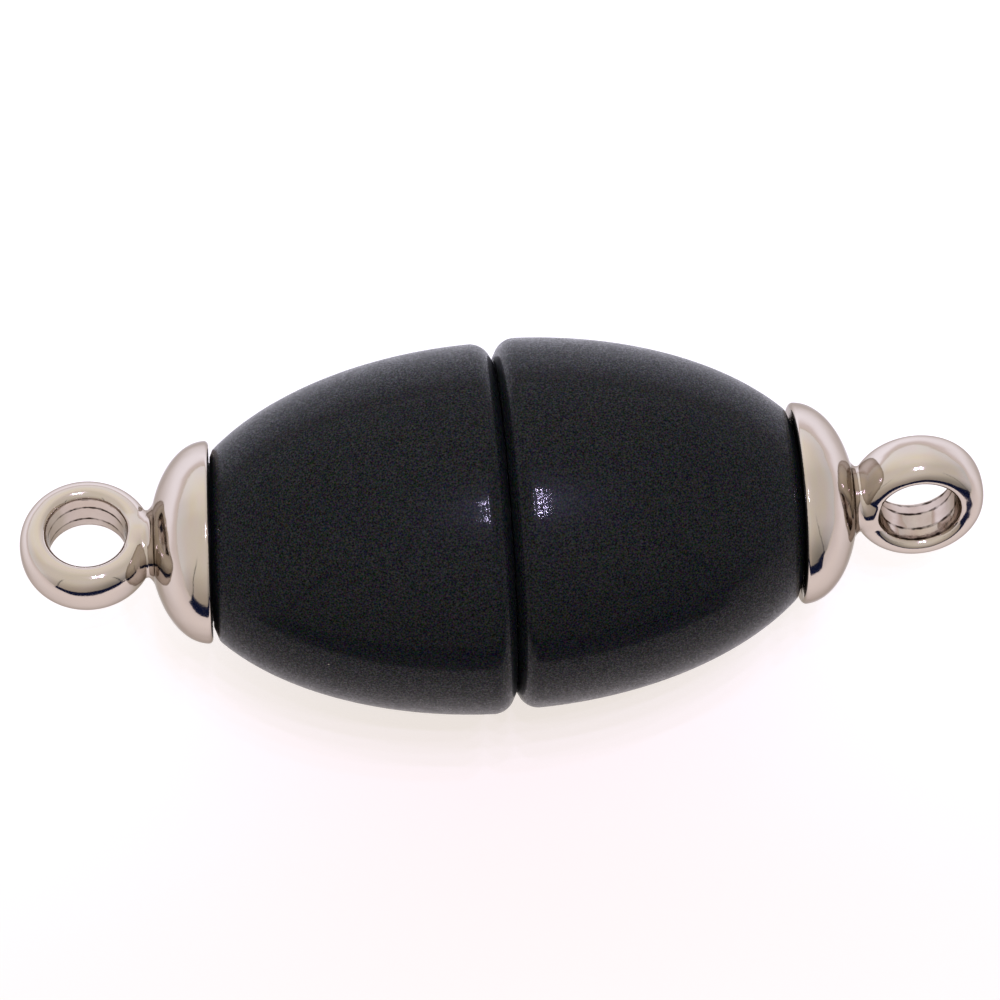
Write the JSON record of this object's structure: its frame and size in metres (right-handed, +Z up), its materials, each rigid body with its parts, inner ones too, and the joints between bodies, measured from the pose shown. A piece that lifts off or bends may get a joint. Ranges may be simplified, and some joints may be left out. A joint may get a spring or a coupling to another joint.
{
  "type": "magnetic clasp",
  "caption": "Barrel-shaped magnetic clasp: satin black shells that meet at a grooved seam over hidden magnets, with polished domed end caps and a closed ring at each end.",
  "frame": {"origin": "on the ground straight below the seam, where the clasp's axis is 5.99 mm up", "axes": "+X along the clasp's axis to the right half, +Z up, -Y towards the side that the picture is taken from"},
  "size_m": [0.0312, 0.012, 0.012],
  "materials": {
    "black_resin": "satin black, moulded and tumbled",
    "polished_plate": "cast, polished and plated silver-coloured",
    "nickel_plate": "nickel plate, lightly scuffed"
  },
  "bodies": {
    "left_half": {"left_shell": "black_resin", "left_magnet": "nickel_plate", "left_end_cap": "polished_plate"},
    "right_disc": {"right_magnet": "nickel_plate"},
    "right_half": {"right_shell": "black_resin", "right_end_cap": "polished_plate"}
  },
  "joints": [
    {"name": "pull_apart", "type": "slide", "parent": "left_half", "child": "right_disc", "axis": [1, 0, 0], "range_m": [0, 0.015]},
    {"name": "twist", "type": "hinge", "parent": "right_disc", "child": "right_half", "pos_m": [0.002, 0.00006, 0.00599], "axis": [1, 0, 0], "continuous": true}
  ]
}
